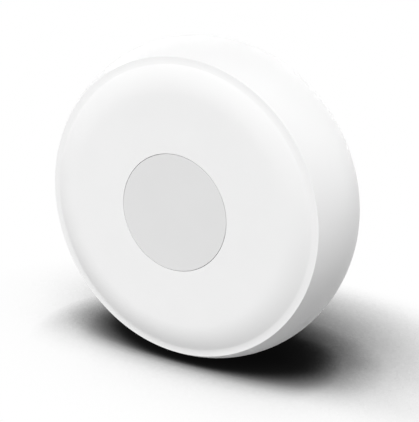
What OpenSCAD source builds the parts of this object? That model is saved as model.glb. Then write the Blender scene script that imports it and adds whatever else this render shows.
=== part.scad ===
// Round wireless push button: a white puck with a pressable cap, which twists onto a wall plate.
// Sizes are in millimetres. Each piece is drawn with the wall at z = 0 and the front towards +z.
// on_wall() then stands it up: the front faces -Y, +Z is up and the origin is on the wall.

/* [Housing] */
// Widest diameter of the housing
body_d = 60; // [58:0.5:68]
// How far the outer edge of the rim lies inside the widest line
side_lean = 2.5; // [1.6:0.1:4]
// Depth of the widest line behind the rim
widest_depth = 8.5; // [7.5:0.1:9.5]
// Radius of the rounded rear edge
rear_edge_r = 1; // [0.5:0.1:1.5]
// Width of the flat rim
rim_w = 1.2; // [0.8:0.1:2]
// Height of the crowned front above the rim
crown_h = 1.2; // [0.8:0.1:1.6]
// Width of the curved band between the rim and the flat middle
crown_w = 5.2; // [4.5:0.1:8]
// Thickness of the front wall
front_wall = 2; // [1.8:0.1:2.6]
// Thickness of the side wall at the rear edge
side_wall = 2; // [1.5:0.1:2.5]
// Thickness of the chassis walls and floor
chassis_wall = 1.2; // [1:0.1:1.6]

/* [Button] */
// Diameter of the button cap
button_d = 21.4; // [19:0.2:24]
// How far the cap can be pressed in
button_travel = 0.6; // [0.3:0.05:0.7]
// Thickness of the top of the cap
cap_t = 1.3; // [1:0.1:1.6]
// Thickness of the wall of the cap
cap_wall = 1.4; // [1:0.1:2]
// How far the flange of the cap reaches past its opening
flange_w = 1.2; // [0.8:0.1:1.6]
// Thickness of the flange of the cap
flange_t = 0.9; // [0.7:0.1:1.2]
// Diameter of the post that presses the switch
post_d = 5; // [4:0.5:8]
// Thickness of the ribs under the cap
rib_t = 0.8; // [0.6:0.1:1.2]
// Thickness of the ring around the flange
well_wall = 1; // [0.8:0.1:1.4]
// Width of the keys that stop the cap from turning
key_w = 2; // [1.5:0.1:4]
// Chamfer along the edges of the cap and of its opening
edge_chamfer = 0.06; // [0.04:0.01:0.25]

/* [Switch] */
// Width of the switch base
switch_w = 6; // [5.6:0.1:7]
// Height of the switch without its plunger
switch_h = 3.5; // [3.2:0.1:4.2]
// Thickness of the floor of the switch base
switch_floor = 1; // [0.6:0.1:1.1]
// Thickness of the steel cover
switch_cover_t = 0.25; // [0.2:0.05:0.4]
// Diameter of the plunger
plunger_d = 3.5; // [3:0.1:3.8]
// How far the plunger stands out of the cover
plunger_rise = 0.8; // [0.75:0.05:1.2]
// How far the flange of the plunger reaches past its stem
plunger_lip = 0.35; // [0.25:0.05:0.4]
// Thickness of the flange of the plunger
plunger_lip_t = 0.7; // [0.5:0.1:0.8]
// Sheet thickness of the snap dome
dome_t = 0.1; // [0.08:0.01:0.15]
// Width of each terminal
terminal_w = 0.7; // [0.5:0.1:1]
// Length of the foot of each terminal
terminal_l = 1.5; // [1:0.1:2]
// Sheet thickness of each terminal
terminal_t = 0.25; // [0.15:0.05:0.4]
// How far each terminal reaches up the side of the switch
terminal_rise = 1; // [0.6:0.1:1.8]

/* [Circuit board] */
// Thickness of the circuit board
board_t = 1; // [0.8:0.1:1.6]
// Board left outside the screw bosses
board_margin = 2.2; // [1:0.1:3.5]
// Width of the radio module
module_w = 16; // [13:0.5:18]
// Length of the radio module
module_l = 12; // [10:0.5:13]
// Thickness of the board of the radio module
module_t = 0.8; // [0.6:0.1:1]
// Height of the shield can
shield_h = 1.6; // [1.2:0.1:2.2]
// Sheet thickness of the shield can
shield_t = 0.2; // [0.15:0.05:0.3]
// Length of the antenna end of the radio module
antenna_end = 3.2; // [2.6:0.1:4]
// Length of each bulk capacitor
capacitor_l = 3.2; // [2.4:0.1:4]
// Width of each bulk capacitor
capacitor_w = 2.5; // [1.6:0.1:3.2]
// Height of each bulk capacitor
capacitor_h = 2; // [1:0.1:2.4]
// Distance between the middles of the bulk capacitors
capacitor_spacing = 18; // [15:0.5:20]
// Distance of the bulk capacitors above the middle of the board
capacitor_up = 8; // [6:0.5:10]
// Distance of the power chip from the middle of the board
chip_out = 10; // [8:0.5:13]

/* [Coin cell] */
// Diameter of the coin cell
cell_d = 24.5; // [20:0.5:26]
// Height of the coin cell
cell_h = 5; // [3.2:0.1:5.4]
// Room for the contact between the cell and the board
contact_h = 0.6; // [0.5:0.1:1]
// Width of the contact strips
contact_w = 4; // [3:0.1:6]
// Sheet thickness of the contact strips
contact_t = 0.2; // [0.15:0.05:0.3]

/* [Wall plate] */
// Thickness of the wall plate
plate_t = 2.2; // [2:0.1:3]
// Plate left outside the chassis posts
plate_margin = 0.7; // [0.4:0.1:1.5]
// How far the back of the plate stands out of the housing
plate_proud = 0.4; // [0.2:0.1:0.6]
// Thickness of the adhesive pad
pad_t = 0.8; // [0.5:0.1:1.6]
// Plate left bare outside the adhesive pad
pad_margin = 2.5; // [1:0.1:4]
// Thickness of the bayonet tabs
tab_t = 1; // [0.8:0.1:1.1]
// How far the bayonet tabs reach past the plate
tab_reach = 1.5; // [1.2:0.1:2]
// Angle that each bayonet tab covers
tab_span = 24; // [16:1:26]
// Angle from locked to released
twist_angle = 30; // [28:1:40]
// Distance between the two wall screw holes
hole_spacing = 24; // [20:1:26]
// Diameter of the wall screw holes
hole_d = 3.6; // [3:0.1:4.4]
// Diameter of the countersinks of the wall screw holes
countersink_d = 6.4; // [5.6:0.1:7]

/* [Chassis screws] */
// Diameter of the screw shank
screw_d = 2; // [1.6:0.1:2.4]
// Length of the screw under its head
screw_l = 8; // [6:0.5:9]
// Diameter of the screw head
head_d = 3.6; // [3.2:0.1:4]
// Height of the screw head
head_h = 1.3; // [1:0.1:1.5]
// Wall of the front shell's bosses around the screws
boss_wall = 1.6; // [1.2:0.1:2]
// Wall of the chassis posts around the screw heads
post_wall = 0.8; // [0.6:0.1:1.2]

/* [Clearances] */
// Gap around the button cap
button_gap = 0.08; // [0.05:0.01:0.25]
// Gap around the flange and the keys of the cap
flange_gap = 0.3; // [0.2:0.05:0.5]
// Room left under the flange when the cap is pressed in
press_gap = 0.2; // [0.1:0.05:0.4]
// Gap around the plunger in its cover
plunger_gap = 0.1; // [0.05:0.01:0.2]
// Gap around the dome and the plunger's flange in their pocket
pocket_gap = 0.3; // [0.2:0.05:0.4]
// Gap around the wall plate
plate_gap = 0.2; // [0.15:0.05:0.35]
// Play of the wall plate along its axis
plate_play = 0.15; // [0.1:0.01:0.2]
// Free angle at each end of the bayonet's travel
tab_play = 2; // [1:0.5:3]
// Gap between the chassis and the side wall
chassis_gap = 0.1; // [0.05:0.01:0.2]
// Gap around the coin cell
cell_gap = 0.25; // [0.2:0.05:0.5]
// Gap between the coin cell and the wall plate
cell_lift = 0.2; // [0.1:0.05:0.5]
// Gap around the contact strips
contact_gap = 0.25; // [0.2:0.05:0.5]
// Gap between the cell bay and the chassis posts
post_gap = 0.7; // [0.4:0.1:1.2]
// Gap around the screw shanks
screw_gap = 0.1; // [0.05:0.01:0.2]
// Gap around the screw heads
head_gap = 0.2; // [0.1:0.05:0.3]
// Gap between pieces that nearly touch
touch_gap = 0.03; // [0.02:0.01:0.06]
// Room between the tall board parts and the button
part_gap = 0.4; // [0.3:0.05:0.8]

/* [Hidden] */
$fn = 96;

white_plastic = [0.93, 0.93, 0.93];
grey_plastic = [0.82, 0.82, 0.82];
steel = [0.72, 0.73, 0.75];
black_plastic = [0.1, 0.1, 0.11];
board_green = [0.1, 0.32, 0.18];

// Overlap that keeps cuts and joins clean
over = 0.1;
screw_count = 3;
screw_start = 90;
tab_count = 3;

// Levels above the wall, from the back to the front
z_back = pad_t + plate_proud;
z_plate = pad_t + plate_t;
z_recess = z_plate + plate_play;
z_floor = z_recess + chassis_wall;
z_cell = z_plate + cell_lift;
z_board = z_cell + cell_h + contact_h;
z_board_top = z_board + board_t;
z_module_top = z_board_top + module_t + shield_h;
z_well = z_module_top + part_gap;
z_inner = z_well + button_travel + press_gap + flange_t;
z_front = z_inner + front_wall;
z_rim = z_front - crown_h;
z_wide = z_rim - widest_depth;
z_switch_top = z_board_top + switch_h;
z_plunger_top = z_switch_top + plunger_rise;
z_ledge = z_plate - tab_t - plate_play;
z_head = z_recess + head_gap;
z_seat = z_head + head_h;

// Radii of the housing's outline: the side is one arc, and so is the crown
rim_r = body_d / 2 - side_lean;
side_arc_r = (pow(side_lean, 2) + pow(widest_depth, 2)) / (2 * side_lean);
side_arc_at = body_d / 2 - side_arc_r;
crown_r = rim_r - rim_w;
flat_r = crown_r - crown_w;
crown_arc_r = (pow(crown_w, 2) + pow(crown_h, 2)) / (2 * crown_h);
rear_drop = z_wide - z_back;
shell_inner_r = side_arc_at + sqrt(pow(side_arc_r, 2) - pow(rear_drop, 2)) - side_wall;

// The rear edge's round touches both the side arc and the back plane
edge_drop = rear_drop - rear_edge_r;
edge_at = side_arc_at + sqrt(pow(side_arc_r - rear_edge_r, 2) - pow(edge_drop, 2));
z_edge = z_wide - edge_drop * side_arc_r / (side_arc_r - rear_edge_r);

// Radii of the button, from its opening outwards
cap_r = button_d / 2;
opening_r = cap_r + button_gap;
flange_r = opening_r + flange_w;
well_r = flange_r + flange_gap;

// Radii of the inside, from the cell outwards
cell_r = cell_d / 2;
bay_r = cell_r + cell_gap;
bay_outer_r = bay_r + chassis_wall;
boss_r = screw_d / 2 + boss_wall;
post_r = head_d / 2 + head_gap + post_wall;
screw_circle_r = bay_outer_r + post_gap + post_r;
board_r = screw_circle_r + boss_r + board_margin;
plate_r = screw_circle_r + post_r + plate_margin;
recess_r = plate_r + plate_gap;
tab_r = plate_r + tab_reach;
groove_r = tab_r + plate_gap;
chassis_r = shell_inner_r - chassis_gap;
pad_r = plate_r - pad_margin;

// Switch pieces that follow from the sizes above
plunger_r = plunger_d / 2;
plunger_lip_r = plunger_r + plunger_lip;
pocket_r = plunger_lip_r + pocket_gap;
z_pocket = z_board_top + switch_floor;
dome_h = button_travel + dome_t + touch_gap;
dome_r = pocket_r - pocket_gap;
z_cover = z_switch_top - switch_cover_t;

// The radio module lies against the edge of the board, with its antenna end outside
module_edge_gap = 0.6;
module_out = sqrt(pow(board_r - module_edge_gap, 2) - pow(module_w / 2, 2));
module_mid = module_out - module_l / 2;

// Turns a piece from the wall plane to its upright place
module on_wall() {
    rotate([90, 0, 0])
        children();
}

// A rectangle of the half section, between two radii and two levels
module area(r_in, r_out, z_low, z_high) {
    translate([r_in, z_low])
        square([r_out - r_in, z_high - z_low]);
}

// Part of a square-cut ring, centred on an angle
module ring_part(r_in, r_out, z_low, z_high, angle, span) {
    rotate([0, 0, angle - span / 2])
        rotate_extrude(angle = span)
            area(r_in, r_out, z_low, z_high);
}

// A block that stands on a level, centred in x and y
module block(size, z_low) {
    translate([-size[0] / 2, -size[1] / 2, z_low])
        cube(size);
}

// Copies of something at each chassis screw
module at_screws() {
    for (i = [0 : screw_count - 1])
        rotate([0, 0, screw_start + i * 360 / screw_count])
            translate([screw_circle_r, 0, 0])
                children();
}

// Copies of something at each key of the cap, midway between the screws
module at_keys() {
    for (i = [0 : screw_count - 1])
        rotate([0, 0, screw_start + (i + 0.5) * 360 / screw_count])
            children();
}

// The housing's whole half section, without its hollow
module outer_area() {
    intersection() {
        area(0, body_d, z_back, z_rim);
        area(0, body_d, z_edge, z_front);
        union() {
            area(0, side_arc_at, z_back, z_rim);
            translate([side_arc_at, z_wide])
                circle(side_arc_r);
        }
    }
    intersection() {
        area(0, body_d, z_back, z_edge);
        union() {
            area(0, edge_at, z_back, z_rim);
            translate([edge_at, z_back + rear_edge_r])
                circle(rear_edge_r);
        }
    }
    intersection() {
        area(0, crown_r, z_back, z_front);
        union() {
            area(0, flat_r, z_back, z_front);
            translate([flat_r, z_front - crown_arc_r])
                circle(crown_arc_r);
        }
    }
}

// The hollow of the housing, which opens straight to the back
module inner_area() {
    intersection() {
        area(0, shell_inner_r, z_back - over, z_inner);
        union() {
            area(0, body_d, z_back - over, z_wide);
            area(0, side_arc_at, z_back, z_inner);
            translate([side_arc_at, z_wide])
                circle(side_arc_r - side_wall);
        }
        union() {
            area(0, flat_r, z_back - over, z_inner);
            area(0, flat_r + crown_arc_r - front_wall, z_back - over, max(z_front - crown_arc_r, z_back));
            translate([flat_r, z_front - crown_arc_r])
                circle(crown_arc_r - front_wall);
        }
    }
}

// The opening for the cap, with a chamfered mouth
module opening_area() {
    area(0, opening_r, z_inner - over, z_front + over);
    polygon([
        [0, z_front - edge_chamfer - opening_r],
        [opening_r + edge_chamfer + over, z_front + over],
        [0, z_front + over]
    ]);
}

// Wall plate with bayonet tabs and two countersunk screw holes
module mounting_plate() {
    sink_depth = (countersink_d - hole_d) / 2;
    color(white_plastic)
        on_wall()
            difference() {
                union() {
                    translate([0, 0, pad_t])
                        cylinder(r = plate_r, h = plate_t);
                    for (i = [0 : tab_count - 1])
                        ring_part(plate_r - over, tab_r, z_plate - tab_t, z_plate,
                                  i * 360 / tab_count, tab_span);
                }
                for (side = [-1, 1])
                    translate([side * hole_spacing / 2, 0, 0]) {
                        cylinder(d = hole_d, h = z_plate + over);
                        translate([0, 0, z_plate - sink_depth])
                            cylinder(d1 = hole_d, d2 = countersink_d, h = sink_depth);
                    }
            }
}

// Foam pad that sticks the plate to the wall, open around the screw holes
module adhesive_pad() {
    color([0.55, 0.56, 0.58])
        on_wall()
            difference() {
                cylinder(r = pad_r, h = pad_t);
                for (side = [-1, 1])
                    translate([side * hole_spacing / 2, 0, -over])
                        cylinder(d = countersink_d, h = pad_t + 2 * over);
            }
}

// White front moulding: side, rim, crowned front, button well and screw bosses
module front_shell() {
    key_slot_r = well_r + well_wall + over;
    pilot_l = z_seat + screw_l + head_gap - z_board_top;
    color(white_plastic)
        on_wall()
            difference() {
                union() {
                    rotate_extrude()
                        difference() {
                            outer_area();
                            inner_area();
                            opening_area();
                        }
                    difference() {
                        rotate_extrude()
                            area(well_r, well_r + well_wall, z_well, z_inner + over);
                        at_keys()
                            translate([0, -key_w / 2 - flange_gap, z_well])
                                cube([key_slot_r, key_w + 2 * flange_gap, z_inner - z_well]);
                    }
                    at_screws()
                        translate([0, 0, z_board_top])
                            cylinder(r = boss_r, h = z_inner - z_board_top + over);
                }
                at_screws()
                    translate([0, 0, z_board_top - over])
                        cylinder(r = screw_d / 2 + touch_gap, h = pilot_l + over);
            }
}

// Back of the housing: bayonet recess, cell bay and posts for the board
module rear_chassis() {
    color(white_plastic)
        on_wall()
            difference() {
                union() {
                    rotate_extrude() {
                        area(bay_r, bay_outer_r, z_recess, z_board);
                        area(bay_r, groove_r + chassis_wall, z_recess, z_floor);
                        area(recess_r, groove_r + chassis_wall, z_back, z_floor);
                        area(recess_r, chassis_r, z_back, z_back + chassis_wall);
                        area(chassis_r - chassis_wall, chassis_r, z_back, z_floor);
                    }
                    at_screws()
                        translate([0, 0, z_recess])
                            cylinder(r = post_r, h = z_board - z_recess);
                }
                for (i = [0 : tab_count - 1]) {
                    tab_angle = i * 360 / tab_count;
                    slot_span = tab_span + 2 * tab_play;
                    ring_part(recess_r - over, groove_r, z_ledge, z_recess,
                              tab_angle - twist_angle / 2, slot_span + twist_angle);
                    ring_part(recess_r - over, groove_r, z_back - over, z_recess,
                              tab_angle - twist_angle, slot_span);
                }
                at_screws() {
                    translate([0, 0, z_recess - over])
                        cylinder(d = head_d + 2 * head_gap, h = z_seat - z_recess + over);
                    translate([0, 0, z_recess])
                        cylinder(r = screw_d / 2 + screw_gap, h = z_board);
                }
                translate([0, -contact_w / 2 - contact_gap, z_floor])
                    cube([bay_outer_r + over, contact_w + 2 * contact_gap, z_board]);
            }
}

// Self-tapping screws through the chassis posts and the board
module chassis_screws() {
    point_l = 1;
    point_d = 0.5;
    slot_w = 0.6;
    slot_l = head_d - 2 * slot_w;
    color(steel)
        on_wall()
            at_screws()
                difference() {
                    union() {
                        translate([0, 0, z_head])
                            cylinder(d = head_d, h = head_h);
                        translate([0, 0, z_seat - over])
                            cylinder(d = screw_d, h = screw_l - point_l + over);
                        translate([0, 0, z_seat + screw_l - point_l])
                            cylinder(d1 = screw_d, d2 = point_d, h = point_l);
                    }
                    for (turn = [0, 90])
                        rotate([0, 0, turn])
                            block([slot_l, slot_w, head_h / 2 + over], z_head - over);
                }
}

// Round board, clamped between the chassis posts and the bosses
module circuit_board() {
    color(board_green)
        on_wall()
            difference() {
                translate([0, 0, z_board])
                    cylinder(r = board_r, h = board_t);
                at_screws()
                    translate([0, 0, z_board - over])
                        cylinder(r = screw_d / 2 + screw_gap, h = board_t + 2 * over);
            }
}

// Coin cell with its can to the back and its smaller negative face to the front
module coin_cell() {
    crimp = 0.6;
    step_h = 0.4;
    edge = 0.3;
    color(steel)
        on_wall()
            rotate_extrude()
                translate([0, z_cell])
                    polygon([
                        [0, 0],
                        [cell_r - edge, 0],
                        [cell_r, edge],
                        [cell_r, cell_h - step_h - edge],
                        [cell_r - edge, cell_h - step_h],
                        [cell_r - crimp, cell_h - step_h],
                        [cell_r - 2 * crimp, cell_h],
                        [0, cell_h]
                    ]);
}

// Strip soldered to the back of the board that presses on the side of the cell
module positive_contact() {
    strip_at = cell_r + touch_gap;
    foot_l = 2.6;
    strip_low = z_floor + contact_gap;
    color(steel)
        on_wall()
            translate([0, -contact_w / 2, 0]) {
                translate([strip_at, 0, strip_low])
                    cube([contact_t, contact_w, z_board - strip_low]);
                translate([strip_at, 0, z_board - contact_t])
                    cube([foot_l, contact_w, contact_t]);
            }
}

// Leaf spring soldered to the back of the board that presses on the front of the cell
module negative_contact() {
    base_from = -7;
    base_to = -3;
    tip_at = 3;
    tip_end = 4.5;
    z_tip = z_cell + cell_h + touch_gap;
    z_up = z_tip + contact_t;
    color(steel)
        on_wall()
            translate([0, contact_w / 2, 0])
                rotate([90, 0, 0])
                    linear_extrude(height = contact_w)
                        polygon([
                            [base_from, z_board],
                            [base_from, z_board - contact_t],
                            [base_to, z_board - contact_t],
                            [tip_at, z_tip],
                            [tip_end, z_up],
                            [tip_end, z_up + contact_t],
                            [tip_at, z_up],
                            [base_to, z_board]
                        ]);
}

// Moulded base of the switch, with a round pocket for the dome and the plunger
module switch_base() {
    color(black_plastic)
        on_wall()
            difference() {
                block([switch_w, switch_w, z_cover - z_board_top], z_board_top);
                translate([0, 0, z_pocket])
                    cylinder(r = pocket_r, h = switch_h);
            }
}

// Steel cover of the switch, with two clips folded down its sides
module switch_cover() {
    clip_w = 2.2;
    clip_l = 1.6;
    color(steel)
        on_wall() {
            difference() {
                block([switch_w, switch_w + 2 * switch_cover_t, switch_cover_t], z_cover);
                translate([0, 0, z_cover - over])
                    cylinder(r = plunger_r + plunger_gap, h = switch_h);
            }
            for (side = [-1, 1])
                translate([0, side * (switch_w + switch_cover_t) / 2, 0])
                    block([clip_w, switch_cover_t, clip_l], z_cover - clip_l);
        }
}

// Snap dome of the switch: a shallow cap of thin sheet
module switch_dome() {
    dome_arc_r = (pow(dome_r, 2) + pow(dome_h, 2)) / (2 * dome_h);
    color(steel)
        on_wall()
            rotate_extrude()
                intersection() {
                    area(0, dome_r, z_pocket, z_pocket + dome_h);
                    translate([0, z_pocket + dome_h - dome_arc_r])
                        difference() {
                            circle(dome_arc_r);
                            circle(dome_arc_r - dome_t);
                        }
                }
}

// Four bent terminals, from the sides of the switch down to the board
module switch_terminals() {
    pitch = switch_w - 2 * terminal_w;
    color(steel)
        on_wall()
            for (side = [-1, 1], row = [-1, 1])
                translate([side * switch_w / 2, row * pitch / 2, 0]) {
                    translate([side * terminal_l / 2, 0, 0])
                        block([terminal_l, terminal_w, terminal_t], z_board_top);
                    translate([side * terminal_t / 2, 0, 0])
                        block([terminal_t, terminal_w, terminal_rise], z_board_top);
                }
}

// Plunger of the switch, held under the cover by its flange
module switch_plunger() {
    nub_r = plunger_r / 2;
    z_lip = z_cover - touch_gap - plunger_lip_t;
    z_nub = z_pocket + dome_h + touch_gap;
    color(black_plastic)
        on_wall()
            rotate_extrude() {
                area(0, nub_r, z_nub, z_plunger_top);
                area(0, plunger_lip_r, z_lip, z_cover - touch_gap);
                area(0, plunger_r, z_lip, z_plunger_top);
            }
}

// Grey cap: flat top, wall, retaining flange with keys, and the post that presses the switch
module button_cap() {
    z_flange = z_inner - flange_t;
    z_under = z_front - cap_t;
    post_l = z_under - z_plunger_top;
    rib_count = 4;
    key_r = well_r + well_wall - flange_gap;
    color(grey_plastic)
        on_wall() {
            rotate_extrude() {
                polygon([
                    [0, z_under],
                    [cap_r, z_under],
                    [cap_r, z_front - edge_chamfer],
                    [cap_r - edge_chamfer, z_front],
                    [0, z_front]
                ]);
                area(cap_r - cap_wall, cap_r, z_flange, z_under + over);
                area(cap_r - cap_wall, flange_r, z_flange, z_inner);
                area(0, post_d / 2, z_plunger_top, z_under + over);
            }
            at_keys()
                translate([flange_r - over, -key_w / 2, z_flange])
                    cube([key_r - flange_r + over, key_w, flange_t]);
            for (i = [0 : rib_count - 1])
                rotate([0, 0, i * 360 / rib_count])
                    translate([0, -rib_t / 2, z_plunger_top])
                        cube([cap_r - cap_wall + over, rib_t, post_l + over]);
        }
}

// Board of the radio module, against the lower edge of the circuit board
module radio_module() {
    color([0.12, 0.2, 0.45])
        on_wall()
            translate([0, -module_mid, 0])
                block([module_w, module_l, module_t], z_board_top);
}

// Sheet can over the radio chips, open to the module's board
module radio_shield() {
    shield_margin = 0.8;
    size = [module_w - 2 * shield_margin, module_l - antenna_end - shield_margin, shield_h];
    hollow = [size[0] - 2 * shield_t, size[1] - 2 * shield_t, shield_h - shield_t];
    color(steel)
        on_wall()
            translate([0, size[1] / 2 - module_out + antenna_end, z_board_top + module_t])
                difference() {
                    block(size, 0);
                    block([hollow[0], hollow[1], hollow[2] + over], -over);
                }
}

// Ceramic antenna at the outer end of the radio module
module chip_antenna() {
    antenna_size = [6, 1.6, 1];
    color([0.9, 0.88, 0.8])
        on_wall()
            translate([0, antenna_end / 2 - module_out, 0])
                block(antenna_size, z_board_top + module_t);
}

// Small light beside the switch, which shines through the pale cap
module status_light() {
    light_size = [2, 1.2, 0.7];
    lens_d = 1;
    lens_h = 0.3;
    color([0.95, 0.95, 0.85])
        on_wall()
            translate([0, switch_w / 2 + 2 * light_size[1], 0]) {
                block(light_size, z_board_top);
                translate([0, 0, z_board_top + light_size[2] - over])
                    cylinder(d = lens_d, h = lens_h + over);
            }
}

// Two block capacitors that carry the radio's current peaks
module bulk_capacitors() {
    color([0.6, 0.48, 0.32])
        on_wall()
            for (side = [-1, 1])
                translate([side * capacitor_spacing / 2, capacitor_up, 0])
                    block([capacitor_l, capacitor_w, capacitor_h], z_board_top);
}

// Small chip that watches the cell's voltage, with its leads
module power_chip() {
    chip_size = [2.9, 1.6, 1.1];
    lead_size = [0.4, 2.8, 0.15];
    lead_pitch = 0.95;
    color(black_plastic)
        on_wall()
            translate([-chip_out, 0, 0]) {
                block(chip_size, z_board_top);
                for (i = [-1 : 1])
                    translate([i * lead_pitch, 0, 0])
                        block(lead_size, z_board_top);
            }
}

// Rows of resistors and capacitors on the board
module board_passives() {
    passive_size = [0.8, 1.6, 0.5];
    passive_pitch = [1.8, 2.6];
    first_at = [8.6, -1.3];
    color([0.2, 0.2, 0.22])
        on_wall()
            for (column = [0 : 2], row = [0 : 1])
                translate([first_at[0] + column * passive_pitch[0], first_at[1] + row * passive_pitch[1], 0])
                    block(passive_size, z_board_top);
}

mounting_plate();
adhesive_pad();
front_shell();
rear_chassis();
chassis_screws();
circuit_board();
coin_cell();
positive_contact();
negative_contact();
switch_base();
switch_cover();
switch_dome();
switch_terminals();
switch_plunger();
button_cap();
radio_module();
radio_shield();
chip_antenna();
status_light();
bulk_capacitors();
power_chip();
board_passives();
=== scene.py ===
"""Looks of a round wireless push button: a white puck with a grey centre cap, standing on its edge."""
import math

import bmesh
import bpy
from mathutils import Matrix, Vector


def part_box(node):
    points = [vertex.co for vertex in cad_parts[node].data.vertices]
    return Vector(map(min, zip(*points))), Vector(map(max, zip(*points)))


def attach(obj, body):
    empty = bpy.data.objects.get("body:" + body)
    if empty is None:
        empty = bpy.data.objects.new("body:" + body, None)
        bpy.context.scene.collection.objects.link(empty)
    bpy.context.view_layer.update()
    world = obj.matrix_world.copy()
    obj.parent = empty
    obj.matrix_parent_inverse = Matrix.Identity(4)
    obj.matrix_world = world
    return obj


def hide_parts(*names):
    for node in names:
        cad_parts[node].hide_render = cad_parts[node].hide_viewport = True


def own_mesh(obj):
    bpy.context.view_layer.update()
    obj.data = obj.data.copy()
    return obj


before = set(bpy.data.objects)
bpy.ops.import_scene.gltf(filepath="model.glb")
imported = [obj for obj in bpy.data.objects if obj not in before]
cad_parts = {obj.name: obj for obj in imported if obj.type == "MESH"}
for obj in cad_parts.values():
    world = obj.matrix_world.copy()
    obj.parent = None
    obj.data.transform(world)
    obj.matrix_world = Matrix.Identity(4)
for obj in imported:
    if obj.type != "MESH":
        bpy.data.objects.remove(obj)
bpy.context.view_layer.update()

MM = 0.001

# Sizes in millimetres, as in the part's source. Levels count from the wall towards the front.
shell_low, shell_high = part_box("front_shell")
BODY_R = min(shell_high.x, shell_high.z) / MM
RIM_R = BODY_R - 2.5
RIM_W = 1.2
CROWN_W = 5.2
CROWN_H = 1.2
FRONT_WALL = 2.0
SIDE_WALL = 2.0
Z_FRONT = -shell_low.y / MM
Z_BACK = -shell_high.y / MM
Z_RIM = Z_FRONT - CROWN_H
Z_WIDE = Z_RIM - 8.5
Z_INNER = Z_FRONT - FRONT_WALL
REAR_EDGE_R = 1.0

CAP_R = 10.7
CAP_T = 1.3
CAP_WALL = 1.4
CAP_GAP = 0.08
FLANGE_W = 1.2
FLANGE_T = 0.9
FLANGE_GAP = 0.3
PRESS_POST_R = 2.5
KEY_W = 2.0
RIB_T = 0.8
WELL_WALL = 1.0
Z_WELL = 12.6
Z_PLUNGER = 14.1
Z_BOARD_TOP = 9.8

SCREW_CIRCLE_R = 17.2
SCREW_ANGLES = (90, 210, 330)
KEY_ANGLES = (30, 150, 270)
RIB_ANGLES = (0, 90, 180, 270)
BOSS_R = 2.6
PILOT_R = 1.03
PILOT_TOP = 12.85
POST_R = 2.8
HEAD_HOLE_R = 2.0
SHANK_HOLE_R = 1.1
Z_SEAT = 4.65

CHASSIS_WALL = 1.2
CHASSIS_GAP = 0.1
Z_PLATE = 3.0
Z_RECESS = 3.15
Z_FLOOR = 4.35
Z_BOARD = 8.8
Z_LEDGE = 1.85
RECESS_R = 20.9
GROOVE_R = 22.4
BAY_R = 12.5
CONTACT_SLOT_W = 4.5
PAD_T = 0.8
PAD_R = 18.2
PLATE_R = 20.7
TAB_R = 22.2
TAB_T = 1.0
TAB_SPAN = 24
TAB_PLAY = 2
TAB_ANGLES = (0, 120, 240)
TWIST = 30
HOLE_X = 12.0
HOLE_R = 1.8
SINK_R = 3.2

# Radius along the moulded edges, and along the fine gap round the cap
EDGE_R = 0.1
FINE_R = 0.04
# Corners flatter than this angle stay as they are. A round takes up at most this share of an edge,
# and the point beside it lies this many times as far from the corner as its end
FLAT_CORNER = 150
ROUND_SHARE = 0.4
BESIDE = 1.2
# How far a cutting solid reaches past a face and past a wall, and a joined solid into its neighbour
OVER = 0.1
PAST_WALL = 1.0
ROOT = 0.5
KEY_ROOT = 0.4
# The tabs end this far below the plate's face
TAB_DROP = 0.001
# Points closer than this to each other are one point, and points closer than this to the axis are on it
WELD = 0.001
ON_AXIS = 1e-6
# Edges that turn by more than this angle are shown sharp
SHARP_ANGLE = 32
# Steps round a whole turn, round a rod, and along the parts of an outline
SEGMENTS = 240
ROD_SIDES = 64
FLAT_STEPS = 6
CROWN_STEPS = 24
SIDE_STEPS = 48
ARC_STEPS = 12
ROUND_STEPS = 4


# Half sections, as (radius, level) points

def arc(centre, radius, start, end, steps):
    """Points on a circle from one angle to another, in degrees, both ends included."""
    points = []
    for i in range(steps + 1):
        t = math.radians(start + (end - start) * i / steps)
        points.append((centre[0] + radius * math.cos(t), centre[1] + radius * math.sin(t)))
    return points


def rounded(points, radius, fine=None):
    """The outline with its corners rounded as far as their edges allow, and the fine corner less."""
    made = []
    for i, corner in enumerate(points):
        here = Vector(corner)
        before = Vector(points[i - 1]) - here
        after = Vector(points[(i + 1) % len(points)]) - here
        turn = before.angle(after)
        if corner[0] < ON_AXIS or turn > math.radians(FLAT_CORNER):
            made.append(corner)
            continue
        size = FINE_R if corner == fine else radius
        reach = min(size / math.tan(turn / 2), before.length * ROUND_SHARE, after.length * ROUND_SHARE)
        size = reach * math.tan(turn / 2)
        before.normalize()
        after.normalize()
        middle = here + (before + after).normalized() * (size / math.sin(turn / 2))
        first = here + before * reach - middle
        sweep = first.angle_signed(here + after * reach - middle)
        made.append(tuple(here + before * reach * BESIDE))
        for k in range(ROUND_STEPS + 1):
            t = -sweep * k / ROUND_STEPS
            made.append((middle.x + first.x * math.cos(t) - first.y * math.sin(t),
                         middle.y + first.x * math.sin(t) + first.y * math.cos(t)))
        made.append(tuple(here + after * reach * BESIDE))
    return made


def area(r_in, r_out, z_low, z_high):
    """The outline of a square-cut ring."""
    return [(r_in, z_low), (r_out, z_low), (r_out, z_high), (r_in, z_high)]


def bearing(centre, point):
    """The angle of the line from a centre to a point, in degrees."""
    return math.degrees(math.atan2(point[1] - centre[1], point[0] - centre[0]))


def meeting(a, ra, b, rb):
    """The outer one of the two points where two circles meet."""
    a, b = Vector(a), Vector(b)
    apart = (b - a).length
    along = (apart ** 2 + ra ** 2 - rb ** 2) / (2 * apart)
    off = math.sqrt(ra ** 2 - along ** 2)
    line = (b - a).normalized()
    ends = [a + line * along + Vector((-line.y, line.x)) * s * off for s in (-1, 1)]
    return max(ends, key=lambda p: p.x)


# Closed meshes, in the row frame

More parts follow.
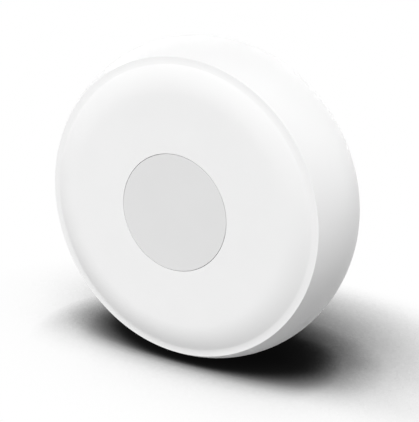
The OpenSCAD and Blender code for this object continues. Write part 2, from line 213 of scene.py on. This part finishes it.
def new_object(name, shape):
    bmesh.ops.recalc_face_normals(shape, faces=shape.faces)
    mesh = bpy.data.meshes.new(name)
    shape.to_mesh(mesh)
    shape.free()
    made = bpy.data.objects.new(name, mesh)
    bpy.context.scene.collection.objects.link(made)
    return made


def upright(x, z, level):
    """A point beside the puck's axis, at a level in front of the wall."""
    return Vector((x, -level, z)) * MM


def lathe(name, outline, start=0, span=360):
    """A solid from an outline turned about the puck's axis, for a whole turn or a part of one."""
    whole = span == 360
    count = round(SEGMENTS * span / 360)
    shape = bmesh.new()
    on_axis = {k: shape.verts.new(upright(0, 0, z)) for k, (r, z) in enumerate(outline) if r < ON_AXIS}
    columns = []
    for i in range(count if whole else count + 1):
        t = math.radians(start + span * i / count)
        columns.append([on_axis.get(k) or shape.verts.new(upright(r * math.cos(t), r * math.sin(t), z))
                        for k, (r, z) in enumerate(outline)])
    size = len(outline)
    for i in range(count):
        here, there = columns[i], columns[(i + 1) % len(columns)]
        for k in range(size):
            n = (k + 1) % size
            corners = list(dict.fromkeys((here[k], here[n], there[n], there[k])))
            if len(corners) > 2:
                shape.faces.new(corners)
    if not whole:
        shape.faces.new(columns[0])
        shape.faces.new(columns[-1])
    return new_object(name, shape)


def stepped_rod(x, z, stations):
    """A round solid beside the puck's axis and along it, from pairs of a level and a radius."""
    shape = bmesh.new()
    turns = [2 * math.pi * i / ROD_SIDES for i in range(ROD_SIDES)]
    rings = []
    for level, size in stations:
        rings.append([shape.verts.new(upright(x + size * math.cos(t), z + size * math.sin(t), level))
                      for t in turns])
    for low, high in zip(rings, rings[1:]):
        for i in range(ROD_SIDES):
            k = (i + 1) % ROD_SIDES
            shape.faces.new((low[i], low[k], high[k], high[i]))
    shape.faces.new(rings[0])
    shape.faces.new(rings[-1])
    return new_object("rod", shape)


def rod(x, z, radius, z_low, z_high):
    """A straight round solid beside the puck's axis and along it."""
    return stepped_rod(x, z, ((z_low, radius), (z_high, radius)))


def bar(r_in, r_out, width, z_low, z_high, angle):
    """A block that reaches outwards from the puck's axis."""
    shape = bmesh.new()
    bmesh.ops.create_cube(shape, size=1)
    turn = Matrix.Rotation(-math.radians(angle), 4, "Y")
    for v in shape.verts:
        r = r_in + (v.co.x + 0.5) * (r_out - r_in)
        level = z_low + (v.co.y + 0.5) * (z_high - z_low)
        v.co = turn @ upright(r, v.co.z * width, level)
    return new_object("bar", shape)


def around(radius, angle):
    """The place at a distance from the puck's axis and an angle round it, in degrees."""
    t = math.radians(angle)
    return radius * math.cos(t), radius * math.sin(t)


def combine(target, operation, tools):
    """Joins solids to a solid, or cuts them from it, and removes them. Welds what that leaves."""
    for tool in tools:
        step = target.modifiers.new("combine", "BOOLEAN")
        step.operation = operation
        step.solver = "EXACT"
        step.object = tool
    seen = target.evaluated_get(bpy.context.evaluated_depsgraph_get())
    mesh = bpy.data.meshes.new_from_object(seen)
    shape = bmesh.new()
    shape.from_mesh(mesh)
    bmesh.ops.remove_doubles(shape, verts=shape.verts, dist=WELD * MM)
    bmesh.ops.dissolve_degenerate(shape, edges=shape.edges, dist=WELD * MM)
    shape.to_mesh(mesh)
    shape.free()
    target.modifiers.clear()
    used = [target.data] + [tool.data for tool in tools]
    target.data = mesh
    for tool in tools:
        bpy.data.objects.remove(tool)
    for data in used:
        bpy.data.meshes.remove(data)
    mesh.name = target.name


def dress(piece, body, node, material):
    """Shows a piece in place of a CAD node, on the node's body."""
    piece.data.shade_smooth()
    piece.data.set_sharp_from_angle(angle=math.radians(SHARP_ANGLE))
    piece.data.materials.clear()
    piece.data.materials.append(material)
    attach(piece, body)
    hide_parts(node)


# Outline of the housing, from the sizes above

lean = BODY_R - RIM_R
depth = Z_RIM - Z_WIDE
SIDE_ARC_R = (lean ** 2 + depth ** 2) / (2 * lean)
SIDE_AT = (BODY_R - SIDE_ARC_R, Z_WIDE)
CROWN_R = RIM_R - RIM_W
FLAT_R = CROWN_R - CROWN_W
CROWN_ARC_R = (CROWN_W ** 2 + CROWN_H ** 2) / (2 * CROWN_H)
CROWN_AT = (FLAT_R, Z_FRONT - CROWN_ARC_R)
rear_drop = Z_WIDE - Z_BACK
edge_drop = rear_drop - REAR_EDGE_R
EDGE_AT = (SIDE_AT[0] + math.sqrt((SIDE_ARC_R - REAR_EDGE_R) ** 2 - edge_drop ** 2), Z_BACK + REAR_EDGE_R)
SHELL_INNER_R = SIDE_AT[0] + math.sqrt(SIDE_ARC_R ** 2 - rear_drop ** 2) - SIDE_WALL
CHASSIS_R = SHELL_INNER_R - CHASSIS_GAP
OPENING_R = CAP_R + CAP_GAP
FLANGE_R = OPENING_R + FLANGE_W
WELL_R = FLANGE_R + FLANGE_GAP
KEY_OUTER_R = WELL_R + WELL_WALL - FLANGE_GAP
Z_FLANGE = Z_INNER - FLANGE_T
Z_UNDER = Z_FRONT - CAP_T


# Materials

# Noise lies mostly between these two values
NOISE_LOW = 0.3
NOISE_HIGH = 0.7


class Look:
    """A node material around one shader, with textures in the object's own space."""

    def __init__(self, name):
        self.material = bpy.data.materials.new(name)
        self.material.use_nodes = True
        self.tree = self.material.node_tree
        self.shader = self.tree.nodes["Principled BSDF"]
        self.place = self.add("ShaderNodeTexCoord").outputs["Object"]

    def add(self, kind, **settings):
        made = self.tree.nodes.new(kind)
        for key, value in settings.items():
            setattr(made, key, value)
        return made

    def join(self, source, target):
        self.tree.links.new(source, target)

    def noise(self, size, detail=2.0, roughness=0.5, stretch=None):
        """Noise with features of a size in millimetres."""
        made = self.add("ShaderNodeTexNoise")
        made.inputs["Scale"].default_value = 1 / (size * MM)
        made.inputs["Detail"].default_value = detail
        made.inputs["Roughness"].default_value = roughness
        place = self.place
        if stretch:
            mapping = self.add("ShaderNodeMapping")
            mapping.inputs["Scale"].default_value = stretch
            self.join(place, mapping.inputs["Vector"])
            place = mapping.outputs["Vector"]
        self.join(place, made.inputs["Vector"])
        return made.outputs["Fac"]

    def cells(self, size):
        """Distance to the nearest of many scattered points, a size in millimetres apart."""
        made = self.add("ShaderNodeTexVoronoi")
        made.inputs["Scale"].default_value = 1 / (size * MM)
        self.join(self.place, made.inputs["Vector"])
        return made.outputs["Distance"]

    def colours(self, value, first, last, low=NOISE_LOW, high=NOISE_HIGH):
        """Colour that goes from the first to the last while the value goes from low to high."""
        ramp = self.add("ShaderNodeValToRGB")
        ramp.color_ramp.elements[0].position = low
        ramp.color_ramp.elements[1].position = high
        ramp.color_ramp.elements[0].color = (*first, 1)
        ramp.color_ramp.elements[1].color = (*last, 1)
        self.join(value, ramp.inputs["Fac"])
        self.join(ramp.outputs["Color"], self.shader.inputs["Base Color"])

    def roughness(self, value, low, high):
        """Roughness between two values, spread by a texture."""
        spread = self.add("ShaderNodeMapRange")
        spread.inputs["From Min"].default_value = NOISE_LOW
        spread.inputs["From Max"].default_value = NOISE_HIGH
        spread.inputs["To Min"].default_value = low
        spread.inputs["To Max"].default_value = high
        self.join(value, spread.inputs["Value"])
        self.join(spread.outputs["Result"], self.shader.inputs["Roughness"])

    def bump(self, value, height):
        """Relief with a height in millimetres."""
        relief = self.add("ShaderNodeBump")
        relief.inputs["Strength"].default_value = 1.0
        relief.inputs["Distance"].default_value = height * MM
        self.join(value, relief.inputs["Height"])
        self.join(relief.outputs["Normal"], self.shader.inputs["Normal"])

    def set(self, **values):
        """Constant values of the shader's own inputs."""
        for key, value in values.items():
            self.shader.inputs[key.replace("_", " ")].default_value = value


def shade(colour, factor):
    return tuple(c * factor for c in colour)


def moulded(name, colour, low, high, grain, height, gloss=0.5):
    """Moulded plastic: even colour with a faint cloud, roughness from low to high, and a fine grain."""
    look = Look(name)
    look.colours(look.noise(size=9), shade(colour, 0.992), shade(colour, 1.006))
    look.roughness(look.noise(size=2.5, detail=3), low, high)
    look.bump(look.noise(grain, detail=3, roughness=0.6), height)
    look.set(Specular_IOR_Level=gloss)
    return look.material


def metal(name, colour, low, high, stretch):
    """Sheet metal with fine lines along one direction."""
    look = Look(name)
    lines = look.noise(size=0.35, detail=4, roughness=0.6, stretch=stretch)
    look.colours(lines, shade(colour, 0.85), shade(colour, 1.05))
    look.roughness(lines, low, high)
    look.bump(lines, height=0.004)
    look.set(Metallic=1.0)
    return look.material


SHELL_WHITE = (0.9, 0.9, 0.9)
CAP_GREY = (0.774, 0.774, 0.774)
CHASSIS_WHITE = (0.84, 0.84, 0.835)
PLATE_WHITE = (0.82, 0.82, 0.815)
FOAM_GREY = (0.3, 0.31, 0.32)
MATT = 0.2
# A fine satin texture outside, and a coarser spark-eroded one at the back
SATIN = {"low": 0.42, "high": 0.5, "grain": 0.12, "height": 0.0012, "gloss": MATT}
SPARK = {"low": 0.5, "high": 0.6, "grain": 0.18, "height": 0.004, "gloss": MATT}
shell_plastic = moulded("shell_plastic", SHELL_WHITE, **SATIN)
cap_plastic = moulded("cap_plastic", CAP_GREY, **SATIN)
chassis_plastic = moulded("chassis_plastic", CHASSIS_WHITE, **SPARK)
plate_plastic = moulded("plate_plastic", PLATE_WHITE, **SPARK)


def foam(name, colour):
    """Foam with small pores, with painted shade darkening their middles."""
    look = Look(name)
    pores = look.cells(size=0.35)
    # Painted shade: the colour darkens towards the middle of each pore, where the bump dents it
    look.colours(pores, shade(colour, 0.72), shade(colour, 1.08), low=0.1, high=0.6)
    look.roughness(pores, low=0.95, high=0.85)
    look.bump(pores, height=0.05)
    return look.material


pad_foam = foam("pad_foam", FOAM_GREY)


# Front shell

inner_side_r = SIDE_ARC_R - SIDE_WALL
inner_crown_r = CROWN_ARC_R - FRONT_WALL
inner_corner = meeting(SIDE_AT, inner_side_r, CROWN_AT, inner_crown_r)
wall_top = (SHELL_INNER_R, Z_WIDE + math.sqrt(inner_side_r ** 2 - (SHELL_INNER_R - SIDE_AT[0]) ** 2))
side_end = bearing(SIDE_AT, EDGE_AT)
front_shell = lathe("front_shell_moulding", rounded(
    [(OPENING_R, Z_INNER), (OPENING_R, Z_FRONT)]
    + [(OPENING_R + (FLAT_R - OPENING_R) * i / FLAT_STEPS, Z_FRONT) for i in range(1, FLAT_STEPS)]
    + arc(CROWN_AT, CROWN_ARC_R, 90, bearing(CROWN_AT, (CROWN_R, Z_RIM)), CROWN_STEPS)
    + arc(SIDE_AT, SIDE_ARC_R, bearing(SIDE_AT, (RIM_R, Z_RIM)), side_end, SIDE_STEPS)
    + arc(EDGE_AT, REAR_EDGE_R, side_end, -90, ARC_STEPS)[1:]
    + [(SHELL_INNER_R, Z_BACK), wall_top]
    + arc(SIDE_AT, inner_side_r, bearing(SIDE_AT, wall_top), bearing(SIDE_AT, inner_corner), ARC_STEPS)[1:]
    + arc(CROWN_AT, inner_crown_r, bearing(CROWN_AT, inner_corner), 90, ARC_STEPS)[1:],
    EDGE_R, (OPENING_R, Z_FRONT)))
well = lathe("well", area(WELL_R, WELL_R + WELL_WALL, Z_WELL, Z_INNER + OVER))
key_slot_w = KEY_W + 2 * FLANGE_GAP
key_slot_end = WELL_R + WELL_WALL + PAST_WALL
combine(well, "DIFFERENCE",
        [bar(WELL_R - PAST_WALL, key_slot_end, key_slot_w, Z_WELL - OVER, Z_INNER + OVER / 2, a)
         for a in KEY_ANGLES])
bosses = [rod(*around(SCREW_CIRCLE_R, a), BOSS_R, Z_BOARD_TOP, Z_INNER + OVER) for a in SCREW_ANGLES]
combine(front_shell, "UNION", [well] + bosses)
combine(front_shell, "DIFFERENCE",
        [rod(*around(SCREW_CIRCLE_R, a), PILOT_R, Z_BOARD_TOP - OVER, PILOT_TOP) for a in SCREW_ANGLES])
dress(front_shell, "puck", "front_shell", shell_plastic)

# Button cap

cap_inner_r = CAP_R - CAP_WALL
button_cap = lathe("button_cap_moulding", rounded(
    [(0, Z_FRONT), (0, Z_PLUNGER), (PRESS_POST_R, Z_PLUNGER), (PRESS_POST_R, Z_UNDER), (cap_inner_r, Z_UNDER),
     (cap_inner_r, Z_FLANGE), (FLANGE_R, Z_FLANGE), (FLANGE_R, Z_INNER), (CAP_R, Z_INNER), (CAP_R, Z_FRONT)]
    + [(CAP_R * i / FLAT_STEPS, Z_FRONT) for i in range(FLAT_STEPS - 1, 0, -1)], EDGE_R, (CAP_R, Z_FRONT)))
combine(button_cap, "UNION",
        [bar(FLANGE_R - KEY_ROOT, KEY_OUTER_R, KEY_W, Z_FLANGE, Z_INNER, a) for a in KEY_ANGLES]
        + [bar(PRESS_POST_R - ROOT, cap_inner_r + OVER, RIB_T, Z_PLUNGER, Z_UNDER + OVER, a)
           for a in RIB_ANGLES])
dress(button_cap, "button", "button_cap", cap_plastic)

# Rear chassis

bay_outer_r = BAY_R + CHASSIS_WALL
rear_chassis = lathe("rear_chassis_moulding", rounded(
    [(RECESS_R, Z_RECESS), (RECESS_R, Z_BACK), (CHASSIS_R, Z_BACK), (CHASSIS_R, Z_FLOOR),
     (CHASSIS_R - CHASSIS_WALL, Z_FLOOR), (CHASSIS_R - CHASSIS_WALL, Z_BACK + CHASSIS_WALL),
     (GROOVE_R + CHASSIS_WALL, Z_BACK + CHASSIS_WALL), (GROOVE_R + CHASSIS_WALL, Z_FLOOR),
     (bay_outer_r, Z_FLOOR), (bay_outer_r, Z_BOARD), (BAY_R, Z_BOARD), (BAY_R, Z_RECESS)], EDGE_R))
combine(rear_chassis, "UNION",
        [rod(*around(SCREW_CIRCLE_R, a), POST_R, Z_RECESS, Z_BOARD) for a in SCREW_ANGLES])
slot_span = TAB_SPAN + 2 * TAB_PLAY
groove = area(RECESS_R - OVER, GROOVE_R, Z_LEDGE, Z_RECESS)
entry = area(RECESS_R - OVER, GROOVE_R, Z_BACK - OVER, Z_LEDGE + OVER)
chassis_cuts = [bar(BAY_R - PAST_WALL, bay_outer_r + OVER, CONTACT_SLOT_W, Z_FLOOR, Z_BOARD + OVER, 0)]
for a in TAB_ANGLES:
    start = a - TWIST - slot_span / 2
    chassis_cuts.append(lathe("groove", groove, start, slot_span + TWIST))
    chassis_cuts.append(lathe("entry", entry, start, slot_span))
for a in SCREW_ANGLES:
    chassis_cuts.append(rod(*around(SCREW_CIRCLE_R, a), HEAD_HOLE_R, Z_RECESS - OVER, Z_SEAT))
    chassis_cuts.append(rod(*around(SCREW_CIRCLE_R, a), SHANK_HOLE_R, Z_RECESS, Z_BOARD + OVER))
combine(rear_chassis, "DIFFERENCE", chassis_cuts)
dress(rear_chassis, "puck", "rear_chassis", chassis_plastic)

# Wall plate and its pad

mounting_plate = lathe("mounting_plate_moulding", rounded(
    [(0, PAD_T), (PLATE_R, PAD_T), (PLATE_R, Z_PLATE), (0, Z_PLATE)], EDGE_R))
tab = area(PLATE_R - ROOT, TAB_R, Z_PLATE - TAB_T, Z_PLATE - TAB_DROP)
combine(mounting_plate, "UNION", [lathe("tab", tab, a - TAB_SPAN / 2, TAB_SPAN) for a in TAB_ANGLES])
screw_hole = ((0, HOLE_R), (Z_PLATE - (SINK_R - HOLE_R), HOLE_R), (Z_PLATE + OVER, SINK_R + OVER))
combine(mounting_plate, "DIFFERENCE", [stepped_rod(s * HOLE_X, 0, screw_hole) for s in (-1, 1)])
dress(mounting_plate, "wall_plate", "mounting_plate", plate_plastic)

adhesive_pad = lathe("adhesive_pad_foam", rounded([(0, 0), (PAD_R, 0), (PAD_R, PAD_T), (0, PAD_T)], EDGE_R))
combine(adhesive_pad, "DIFFERENCE", [rod(s * HOLE_X, 0, SINK_R, -OVER, PAD_T + OVER) for s in (-1, 1)])
dress(adhesive_pad, "wall_plate", "adhesive_pad", pad_foam)

# Materials of the pieces inside, on the CAD nodes

black_plastic = moulded("black_plastic", (0.025, 0.025, 0.027), low=0.4, high=0.55, grain=0.15, height=0.004)
bright_steel = metal("bright_steel", (0.62, 0.63, 0.64), low=0.2, high=0.38, stretch=(1, 8, 1))
tin = metal("tin", (0.7, 0.7, 0.68), low=0.28, high=0.45, stretch=(8, 1, 1))
spring_metal = metal("spring_metal", (0.75, 0.72, 0.64), low=0.2, high=0.35, stretch=(1, 1, 8))


def laminate(name, dark, light):
    """Solder resist over copper, lighter and raised in patches."""
    look = Look(name)
    look.colours(look.noise(size=1.8), dark, light, low=0.45, high=0.55)
    look.roughness(look.noise(size=0.6), low=0.25, high=0.4)
    look.bump(look.noise(size=1.8), height=0.02)
    look.set(Coat_Weight=0.3, Coat_Roughness=0.15)
    return look.material


board_mask = laminate("board_laminate", (0.012, 0.09, 0.035), (0.02, 0.14, 0.055))
module_mask = laminate("module_laminate", (0.01, 0.03, 0.11), (0.016, 0.045, 0.16))
FIRED = {"low": 0.35, "high": 0.5, "grain": 0.2, "height": 0.006}
ceramic = moulded("ceramic", (0.72, 0.68, 0.58), **FIRED)
capacitor_brown = moulded("capacitor_ceramic", (0.36, 0.25, 0.14), **FIRED)
light_resin = moulded("light_resin", (0.85, 0.84, 0.66), low=0.15, high=0.25, grain=0.3, height=0.002)

NODE_LOOKS = {
    "chassis_screws": bright_steel, "circuit_board": board_mask, "coin_cell": bright_steel,
    "positive_contact": spring_metal, "negative_contact": spring_metal, "switch_base": black_plastic,
    "switch_cover": tin, "switch_terminals": tin, "switch_plunger": black_plastic,
    "radio_module": module_mask, "radio_shield": tin, "chip_antenna": ceramic, "status_light": light_resin,
    "bulk_capacitors": capacitor_brown, "power_chip": black_plastic, "board_passives": black_plastic,
}
for node, material in NODE_LOOKS.items():
    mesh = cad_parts[node].data
    mesh.materials.clear()
    mesh.materials.append(material)

# Snap dome of the switch, built in its resting shape; the real one flattens under the plunger

dome_low, dome_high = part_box("switch_dome")
DOME_R = dome_high.x / MM
DOME_T = 0.1
Z_DOME = -dome_high.y / MM
dome_h = -dome_low.y / MM - Z_DOME
dome_arc_r = (DOME_R ** 2 + dome_h ** 2) / (2 * dome_h)
dome_at = (0, Z_DOME + dome_h - dome_arc_r)
dome_inner_r = dome_arc_r - DOME_T
dome_inner_end = (math.sqrt(dome_inner_r ** 2 - (Z_DOME - dome_at[1]) ** 2), Z_DOME)
switch_dome = lathe("switch_dome_spring",
                    arc(dome_at, dome_arc_r, 90, bearing(dome_at, (DOME_R, Z_DOME)), ARC_STEPS)
                    + arc(dome_at, dome_inner_r, bearing(dome_at, dome_inner_end), 90, ARC_STEPS))
dress(switch_dome, "puck", "switch_dome", spring_metal)
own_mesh(switch_dome)


# Stage: white floor, soft lamps and the camera

def shown_rays(tree):
    """1 for rays that show a thing itself: from the camera, in a gloss or through something clear."""
    rays = tree.nodes.new("ShaderNodeLightPath")
    value = rays.outputs["Is Camera Ray"]
    for kind in ("Is Glossy Ray", "Is Transmission Ray"):
        either = tree.nodes.new("ShaderNodeMath")
        either.operation = "MAXIMUM"
        tree.links.new(value, either.inputs[0])
        tree.links.new(rays.outputs[kind], either.inputs[1])
        value = either.outputs[0]
    return value


# Half the floor's side, in metres
FLOOR_HALF = 4.0
# The floor is white by itself, with a painted shadow in its emission colour: darker where the part is near,
# by ambient occlusion along three axes, each with an azimuth, an angle from straight above, and the distance
# in millimetres within which the part hides the floor. The lamps cast no shadow on it.
PAINTED_SHADOW_SIDES = ((-15, 50, 40.0), (-15, 66, 11.0), (15, 66, 17.0))
# Tone of the floor's painted shadow over the share of its directions that the part leaves open
PAINTED_SHADOW_TONES = ((0.1, 0.0027), (0.2, 0.0035), (0.3, 0.0055), (0.35, 0.0062), (0.4, 0.0093), (0.45, 0.0207),
               (0.5, 0.044), (0.6, 0.12), (0.7, 0.248), (0.8, 0.51), (0.85, 0.684), (0.9, 0.846), (0.95, 1.0))
floor_shape = bmesh.new()
bmesh.ops.create_grid(floor_shape, x_segments=1, y_segments=1, size=FLOOR_HALF)
floor = new_object("floor", floor_shape)
floor.location.z = -BODY_R * MM
floor.visible_shadow = False
floor_look = Look("floor_paper")
floor_look.set(Base_Color=(0, 0, 0, 1), Specular_IOR_Level=0.0)
floor_look.roughness(floor_look.noise(5), 0.9, 1.0)
share = None
for azimuth, tilt, reach in PAINTED_SHADOW_SIDES:
    a, t = math.radians(azimuth), math.radians(tilt)
    axis = floor_look.add("ShaderNodeCombineXYZ")
    axis.inputs["X"].default_value = math.sin(a) * math.sin(t)
    axis.inputs["Y"].default_value = -math.cos(a) * math.sin(t)
    axis.inputs["Z"].default_value = math.cos(t)
    painted_occlusion = floor_look.add("ShaderNodeAmbientOcclusion")
    painted_occlusion.inputs["Distance"].default_value = reach * MM
    floor_look.join(axis.outputs["Vector"], painted_occlusion.inputs["Normal"])
    left = painted_occlusion.outputs["AO"]
    if share:
        both = floor_look.add("ShaderNodeMath", operation="MULTIPLY")
        floor_look.join(share, both.inputs[0])
        floor_look.join(left, both.inputs[1])
        left = both.outputs["Value"]
    share = left
painted_shadow_ramp = floor_look.add("ShaderNodeValToRGB")
stops = painted_shadow_ramp.color_ramp.elements
while len(stops) < len(PAINTED_SHADOW_TONES):
    stops.new(0.5)
for stop, (position, tone) in zip(stops, PAINTED_SHADOW_TONES):
    stop.position = position
    stop.color = (tone, tone, tone, 1)
floor_look.join(share, painted_shadow_ramp.inputs["Fac"])
# The painted shadow goes into the floor's emission colour
floor_look.join(painted_shadow_ramp.outputs["Color"], floor_look.shader.inputs["Emission Color"])
floor_look.join(shown_rays(floor_look.tree), floor_look.shader.inputs["Emission Strength"])
floor_look.material.cycles.emission_sampling = "NONE"
floor.data.materials.append(floor_look.material)

# Light from all sides on the part. The world itself shows white.
FILL = 0.12
world = bpy.data.worlds.new("studio")
bpy.context.scene.world = world
world.use_nodes = True
sky = world.node_tree
background = sky.nodes["Background"]
background.inputs["Color"].default_value = (1, 1, 1, 1)
level = sky.nodes.new("ShaderNodeMapRange")
level.inputs["To Min"].default_value = FILL
level.inputs["To Max"].default_value = 1.0
sky.links.new(shown_rays(sky), level.inputs["Value"])
sky.links.new(level.outputs["Result"], background.inputs["Strength"])


def sun(name, azimuth, elevation, strength, spread=40):
    """A soft far lamp. Angles are in degrees, and azimuth 0 is in front of the puck and 90 at its right."""
    data = bpy.data.lights.new(name, "SUN")
    data.energy = strength
    data.angle = math.radians(spread)
    data.cycles.use_multiple_importance_sampling = False
    lamp = bpy.data.objects.new(name, data)
    bpy.context.scene.collection.objects.link(lamp)
    a, e = math.radians(azimuth), math.radians(elevation)
    towards = Vector((math.sin(a) * math.cos(e), -math.cos(a) * math.cos(e), math.sin(e)))
    lamp.rotation_mode = "QUATERNION"
    lamp.rotation_quaternion = towards.to_track_quat("Z", "Y")


sun("key_lamp", 30, 66, 1.75, 15)
sun("front_lamp", 0, 12, 0.74)
sun("right_front_lamp", 45, 12, 0.96)
sun("right_back_lamp", 135, 12, 1.03)
sun("back_lamp", 180, 12, 0.37)
sun("left_back_lamp", 225, 26, 0.52)
sun("left_lamp", 270, 12, 0.54)
# In place of the light that a white floor throws back
sun("floor_glow_front", 315, -20, 1.0)
sun("floor_glow_back", 180, -55, 0.25)

CAMERA_AZIMUTH = 30.6
CAMERA_ELEVATION = 17.68
CAMERA_DISTANCE = 177.4
CAMERA_LENS = 85.3
SENSOR_WIDTH = 36
# Nearest and farthest things that the camera shows, in metres
CLIP_START = 0.01
CLIP_END = 20
# The camera looks past the middle of the rim, by these amounts to the right and up
AIM_RIGHT = 5.78
AIM_UP = 0.11
a, e = math.radians(CAMERA_AZIMUTH), math.radians(CAMERA_ELEVATION)
to_right = Vector((math.cos(a), math.sin(a), 0))
to_back = Vector((math.sin(a) * math.cos(e), -math.cos(a) * math.cos(e), math.sin(e)))
to_up = to_back.cross(to_right)
camera_data = bpy.data.cameras.new("camera")
camera_data.lens = CAMERA_LENS
camera_data.sensor_width = SENSOR_WIDTH
camera_data.clip_start = CLIP_START
camera_data.clip_end = CLIP_END
camera = bpy.data.objects.new("camera", camera_data)
bpy.context.scene.collection.objects.link(camera)
aim = Vector((0, -Z_RIM, 0)) + to_right * AIM_RIGHT + to_up * AIM_UP
camera.location = (aim + to_back * CAMERA_DISTANCE) * MM
camera.rotation_mode = "QUATERNION"
camera.rotation_quaternion = to_back.to_track_quat("Z", "Y")
bpy.context.scene.camera = camera

bpy.context.scene.view_settings.view_transform = "Standard"
